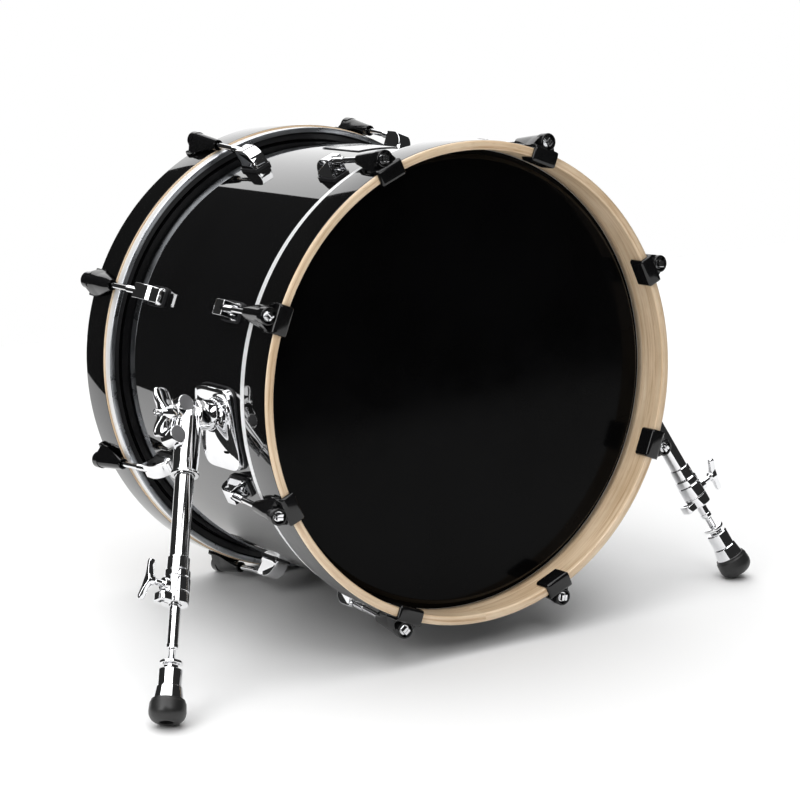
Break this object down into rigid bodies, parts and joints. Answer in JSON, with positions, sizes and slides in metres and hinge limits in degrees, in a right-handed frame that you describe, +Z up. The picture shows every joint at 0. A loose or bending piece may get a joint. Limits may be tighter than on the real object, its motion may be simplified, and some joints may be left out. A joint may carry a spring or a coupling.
{
  "type": "bass drum",
  "caption": "Bass drum with a gloss black shell, natural wood hoops held by claws and tension rods, and folding, telescoping chrome spurs with rubber feet.",
  "frame": {"origin": "on the floor, under the middle of the drum's bounding box, with both spurs out and the front hoop off the floor", "axes": "+Z up, -Y towards the front (resonant) head, +Y towards the player, +X the drum's right side as seen from the front"},
  "size_m": [0.7832, 0.4562, 0.5198],
  "materials": {
    "shell_lacquer": "high-gloss black lacquer over a wooden shell",
    "hoop_wood": "clear satin maple on the face and inside, black gloss lacquer on the outer side",
    "front_head_film": "gloss black film",
    "rear_head_film": "black woven mesh",
    "flesh_hoop_metal": "satin anodised",
    "badge_metal": "brushed, with a dark edge",
    "lug_chrome": "polished chrome over a zinc casting",
    "claw_black": "gloss black claw, chrome tension rod",
    "spur_chrome": "polished chrome",
    "foot_rubber": "satin moulded rubber"
  },
  "bodies": {
    "drum": {"shell": "shell_lacquer", "badge": "badge_metal", "front_lug_1": "lug_chrome", "front_lug_2": "lug_chrome", "front_lug_3": "lug_chrome", "front_lug_4": "lug_chrome", "front_lug_5": "lug_chrome", "front_lug_6": "lug_chrome", "front_lug_7": "lug_chrome", "front_lug_8": "lug_chrome", "rear_lug_1": "lug_chrome", "rear_lug_2": "lug_chrome", "rear_lug_3": "lug_chrome", "rear_lug_4": "lug_chrome", "rear_lug_5": "lug_chrome", "rear_lug_6": "lug_chrome", "rear_lug_7": "lug_chrome", "rear_lug_8": "lug_chrome", "left_spur_bracket": "spur_chrome", "right_spur_bracket": "spur_chrome"},
    "front_tension_set": {"front_hoop": "hoop_wood", "front_head": "front_head_film", "front_flesh_hoop": "flesh_hoop_metal", "front_claw_rod_1": "claw_black", "front_claw_rod_2": "claw_black", "front_claw_rod_3": "claw_black", "front_claw_rod_4": "claw_black", "front_claw_rod_5": "claw_black", "front_claw_rod_6": "claw_black", "front_claw_rod_7": "claw_black", "front_claw_rod_8": "claw_black"},
    "rear_tension_set": {"rear_hoop": "hoop_wood", "rear_head": "rear_head_film", "rear_flesh_hoop": "flesh_hoop_metal", "rear_claw_rod_1": "claw_black", "rear_claw_rod_2": "claw_black", "rear_claw_rod_3": "claw_black", "rear_claw_rod_4": "claw_black", "rear_claw_rod_5": "claw_black", "rear_claw_rod_6": "claw_black", "rear_claw_rod_7": "claw_black", "rear_claw_rod_8": "claw_black"},
    "left_leg": {"left_spur_knuckle": "spur_chrome", "left_leg_tube": "spur_chrome", "left_leg_collar": "spur_chrome"},
    "left_wing_nut": {"left_wing_nut": "spur_chrome"},
    "left_wing_bolt": {"left_wing_bolt": "spur_chrome"},
    "left_inner_rod": {"left_inner_rod": "spur_chrome"},
    "left_lock_nut": {"left_lock_nut": "spur_chrome"},
    "left_foot": {"left_foot_ferrule": "spur_chrome", "left_rubber_foot": "foot_rubber"},
    "right_leg": {"right_spur_knuckle": "spur_chrome", "right_leg_tube": "spur_chrome", "right_leg_collar": "spur_chrome"},
    "right_wing_nut": {"right_wing_nut": "spur_chrome"},
    "right_wing_bolt": {"right_wing_bolt": "spur_chrome"},
    "right_inner_rod": {"right_inner_rod": "spur_chrome"},
    "right_lock_nut": {"right_lock_nut": "spur_chrome"},
    "right_foot": {"right_foot_ferrule": "spur_chrome", "right_rubber_foot": "foot_rubber"}
  },
  "joints": [
    {"name": "front_tension_slide", "type": "slide", "parent": "drum", "child": "front_tension_set", "axis": [0, -0.9965, 0.0837], "range_m": [0, 0.012]},
    {"name": "rear_tension_slide", "type": "slide", "parent": "drum", "child": "rear_tension_set", "axis": [0, 0.9965, -0.0837], "range_m": [0, 0.012]},
    {"name": "left_spur_swing", "type": "hinge", "parent": "drum", "child": "left_leg", "pos_m": [-0.26113, -0.05391, 0.2558], "axis": [0.9833, -0.0152, -0.1816], "range_deg": [-15, 112]},
    {"name": "left_wing_nut_turn", "type": "hinge", "parent": "left_leg", "child": "left_wing_nut", "pos_m": [-0.26113, -0.05391, 0.2558], "axis": [-0.9833, 0.0152, 0.1816], "range_deg": [0, 720]},
    {"name": "left_wing_bolt_turn", "type": "hinge", "parent": "left_leg", "child": "left_wing_bolt", "pos_m": [-0.32899, -0.14735, 0.11281], "axis": [-0.9114, 0.0344, 0.4101], "range_deg": [0, 720]},
    {"name": "left_leg_extension", "type": "slide", "parent": "left_leg", "child": "left_inner_rod", "axis": [-0.3692, -0.5084, -0.778], "range_m": [-0.043, 0.06]},
    {"name": "left_foot_travel", "type": "slide", "parent": "left_inner_rod", "child": "left_lock_nut", "axis": [0.3692, 0.5084, 0.778], "range_m": [0, 0.00875]},
    {"name": "left_foot_turn", "type": "hinge", "parent": "left_lock_nut", "child": "left_foot", "pos_m": [-0.35204, -0.17909, 0.06425], "axis": [-0.3692, -0.5084, -0.778], "range_deg": [0, 2520]},
    {"name": "right_spur_swing", "type": "hinge", "parent": "drum", "child": "right_leg", "pos_m": [0.26098, -0.05485, 0.2562], "axis": [0.9833, 0.0152, 0.1816], "range_deg": [-15, 100]},
    {"name": "right_wing_nut_turn", "type": "hinge", "parent": "right_leg", "child": "right_wing_nut", "pos_m": [0.26098, -0.05485, 0.2562], "axis": [0.9833, 0.0152, 0.1816], "range_deg": [0, 720]},
    {"name": "right_wing_bolt_turn", "type": "hinge", "parent": "right_leg", "child": "right_wing_bolt", "pos_m": [0.3344, -0.11245, 0.09785], "axis": [0.9114, 0.0344, 0.4101], "range_deg": [0, 720]},
    {"name": "right_leg_extension", "type": "slide", "parent": "right_leg", "child": "right_inner_rod", "axis": [0.3995, -0.3134, -0.8615], "range_m": [-0.015, 0.088]},
    {"name": "right_foot_travel", "type": "slide", "parent": "right_inner_rod", "child": "right_lock_nut", "axis": [-0.3995, 0.3134, 0.8615], "range_m": [0, 0.00875]},
    {"name": "right_foot_turn", "type": "hinge", "parent": "right_lock_nut", "child": "right_foot", "pos_m": [0.34797, -0.1231, 0.0686], "axis": [0.3995, -0.3134, -0.8615], "range_deg": [0, 2520]}
  ],
  "couplings": [
    {"joint": "left_foot_travel", "follows": "left_foot_turn", "m_per_rad": 0.00019894},
    {"joint": "right_foot_travel", "follows": "right_foot_turn", "m_per_rad": 0.00019894}
  ]
}
